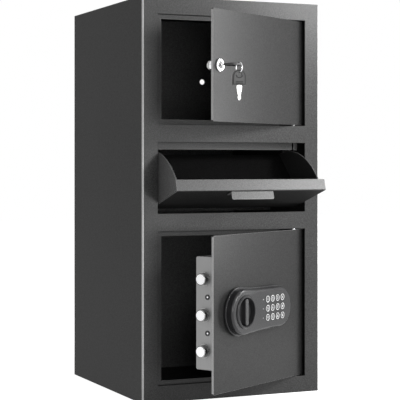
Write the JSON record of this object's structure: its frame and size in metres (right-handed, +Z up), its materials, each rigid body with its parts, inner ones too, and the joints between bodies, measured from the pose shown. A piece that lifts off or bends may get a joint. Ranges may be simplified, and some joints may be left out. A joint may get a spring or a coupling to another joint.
{
  "type": "deposit safe",
  "caption": "Upright steel deposit safe: key-locked upper compartment, tilting deposit hopper, lower compartment with keypad lock and knob-thrown bolts.",
  "frame": {"origin": "centre of the underside", "axes": "+Z up, front towards -Y, +Y out of the back panel, +X to the right seen from the front"},
  "size_m": [0.345, 0.5277, 0.7],
  "materials": {
    "sand_coat": "dark grey sand-texture powder coat, satin",
    "chrome": "polished chrome plate",
    "key_steel": "nickel plated, lightly worn",
    "zinc": "bright zinc plate",
    "keypad_plastic": "dark grey moulding, semi-gloss",
    "knob_plastic": "black moulding, satin",
    "key_plastic": "black moulding, semi-gloss",
    "button_plastic": "black, with a pale ring and number",
    "battery_plastic": "black moulding, matt",
    "board": "green solder mask"
  },
  "bodies": {
    "cabinet": {"cabinet_wrap": "sand_coat", "top_panel": "sand_coat", "bottom_panel": "sand_coat", "back_panel": "sand_coat", "upper_shelf": "sand_coat", "drop_baffle": "sand_coat", "upper_stop_frame": "sand_coat", "lower_stop_frame": "sand_coat", "hopper_stop_lip": "sand_coat", "upper_hinge_lug_top": "sand_coat", "upper_hinge_lug_bottom": "sand_coat", "lower_hinge_lug_top": "sand_coat", "lower_hinge_lug_bottom": "sand_coat", "hopper_bracket_left": "sand_coat", "hopper_bracket_right": "sand_coat"},
    "hopper": {"hopper_front_panel": "sand_coat", "hopper_cheek_left": "sand_coat", "hopper_cheek_right": "sand_coat", "hopper_rear_plate": "sand_coat", "hopper_handle": "sand_coat"},
    "upper_door": {"upper_door_panel": "sand_coat", "upper_door_hinge_rod": "chrome", "upper_lock_barrel": "chrome", "upper_lock_nut": "zinc"},
    "lock_plug": {"upper_lock_plug": "chrome", "upper_lock_cam": "zinc", "upper_lock_cam_screw": "zinc"},
    "key": {"key_blade": "key_steel", "key_head": "key_plastic"},
    "key_ring": {"key_ring": "chrome"},
    "spare_key": {"spare_key_blade": "key_steel", "spare_key_head": "key_plastic"},
    "lower_door": {"lower_door_panel": "sand_coat", "lower_door_hinge_rod": "chrome", "bolt_box": "sand_coat", "solenoid": "zinc", "battery_holder": "battery_plastic", "battery_cover": "battery_plastic", "keypad_base": "keypad_plastic", "keypad_housing": "keypad_plastic", "circuit_board": "board", "knob_ring": "keypad_plastic"},
    "bolt_carriage": {"bolt_upper": "chrome", "bolt_middle": "chrome", "bolt_lower": "chrome", "bolt_bar": "zinc"},
    "knob": {"knob": "knob_plastic", "knob_spindle": "zinc"},
    "pad_key_01": {"pad_key_01": "button_plastic"},
    "pad_key_02": {"pad_key_02": "button_plastic"},
    "pad_key_03": {"pad_key_03": "button_plastic"},
    "pad_key_04": {"pad_key_04": "button_plastic"},
    "pad_key_05": {"pad_key_05": "button_plastic"},
    "pad_key_06": {"pad_key_06": "button_plastic"},
    "pad_key_07": {"pad_key_07": "button_plastic"},
    "pad_key_08": {"pad_key_08": "button_plastic"},
    "pad_key_09": {"pad_key_09": "button_plastic"},
    "pad_key_10": {"pad_key_10": "button_plastic"},
    "pad_key_11": {"pad_key_11": "button_plastic"},
    "pad_key_12": {"pad_key_12": "button_plastic"}
  },
  "joints": [
    {"name": "upper_door_hinge", "type": "hinge", "parent": "cabinet", "child": "upper_door", "pos_m": [0.1248, -0.171, 0.575], "axis": [0, 0, 1], "range_deg": [-30.59, 75]},
    {"name": "lower_door_hinge", "type": "hinge", "parent": "cabinet", "child": "lower_door", "pos_m": [0.1248, -0.171, 0.16175], "axis": [0, 0, 1], "range_deg": [-30.76, 75]},
    {"name": "hopper_tilt", "type": "hinge", "parent": "cabinet", "child": "hopper", "pos_m": [0, -0.1658, 0.3533], "axis": [1, 0, 0], "range_deg": [-74, 0]},
    {"name": "upper_lock_turn", "type": "hinge", "parent": "upper_door", "child": "lock_plug", "pos_m": [-0.08436, -0.30511, 0.575], "axis": [-0.5089, 0.8608, 0], "range_deg": [0, 180]},
    {"name": "key_withdraw", "type": "slide", "parent": "lock_plug", "child": "key", "axis": [0.5089, -0.8608, 0], "range_m": [0, 0.03]},
    {"name": "key_ring_swing", "type": "hinge", "parent": "key", "child": "key_ring", "pos_m": [-0.06442, -0.33885, 0.577], "axis": [-0.5089, 0.8608, 0], "range_deg": [-10, 10]},
    {"name": "spare_key_swing", "type": "hinge", "parent": "key_ring", "child": "spare_key", "pos_m": [-0.06442, -0.33885, 0.56132], "axis": [-0.5089, 0.8608, 0], "range_deg": [-20, 20]},
    {"name": "bolt_slide", "type": "slide", "parent": "lower_door", "child": "bolt_carriage", "axis": [-0.8593, -0.5114, 0], "range_m": [0, 0.02]},
    {"name": "knob_turn", "type": "hinge", "parent": "lower_door", "child": "knob", "pos_m": [-0.03971, -0.27939, 0.1625], "axis": [0.5114, -0.8593, 0], "range_deg": [0, 90]},
    {"name": "pad_key_01_press", "type": "slide", "parent": "lower_door", "child": "pad_key_01", "axis": [-0.5114, 0.8593, 0], "range_m": [0, 0.0012], "stiffness_N_per_m": 400, "springref_m": -0.0005},
    {"name": "pad_key_02_press", "type": "slide", "parent": "lower_door", "child": "pad_key_02", "axis": [-0.5114, 0.8593, 0], "range_m": [0, 0.0012], "stiffness_N_per_m": 400, "springref_m": -0.0005},
    {"name": "pad_key_03_press", "type": "slide", "parent": "lower_door", "child": "pad_key_03", "axis": [-0.5114, 0.8593, 0], "range_m": [0, 0.0012], "stiffness_N_per_m": 400, "springref_m": -0.0005},
    {"name": "pad_key_04_press", "type": "slide", "parent": "lower_door", "child": "pad_key_04", "axis": [-0.5114, 0.8593, 0], "range_m": [0, 0.0012], "stiffness_N_per_m": 400, "springref_m": -0.0005},
    {"name": "pad_key_05_press", "type": "slide", "parent": "lower_door", "child": "pad_key_05", "axis": [-0.5114, 0.8593, 0], "range_m": [0, 0.0012], "stiffness_N_per_m": 400, "springref_m": -0.0005},
    {"name": "pad_key_06_press", "type": "slide", "parent": "lower_door", "child": "pad_key_06", "axis": [-0.5114, 0.8593, 0], "range_m": [0, 0.0012], "stiffness_N_per_m": 400, "springref_m": -0.0005},
    {"name": "pad_key_07_press", "type": "slide", "parent": "lower_door", "child": "pad_key_07", "axis": [-0.5114, 0.8593, 0], "range_m": [0, 0.0012], "stiffness_N_per_m": 400, "springref_m": -0.0005},
    {"name": "pad_key_08_press", "type": "slide", "parent": "lower_door", "child": "pad_key_08", "axis": [-0.5114, 0.8593, 0], "range_m": [0, 0.0012], "stiffness_N_per_m": 400, "springref_m": -0.0005},
    {"name": "pad_key_09_press", "type": "slide", "parent": "lower_door", "child": "pad_key_09", "axis": [-0.5114, 0.8593, 0], "range_m": [0, 0.0012], "stiffness_N_per_m": 400, "springref_m": -0.0005},
    {"name": "pad_key_10_press", "type": "slide", "parent": "lower_door", "child": "pad_key_10", "axis": [-0.5114, 0.8593, 0], "range_m": [0, 0.0012], "stiffness_N_per_m": 400, "springref_m": -0.0005},
    {"name": "pad_key_11_press", "type": "slide", "parent": "lower_door", "child": "pad_key_11", "axis": [-0.5114, 0.8593, 0], "range_m": [0, 0.0012], "stiffness_N_per_m": 400, "springref_m": -0.0005},
    {"name": "pad_key_12_press", "type": "slide", "parent": "lower_door", "child": "pad_key_12", "axis": [-0.5114, 0.8593, 0], "range_m": [0, 0.0012], "stiffness_N_per_m": 400, "springref_m": -0.0005}
  ],
  "couplings": [
    {"joint": "knob_turn", "follows": "bolt_slide", "rad_per_m": 78.53}
  ]
}
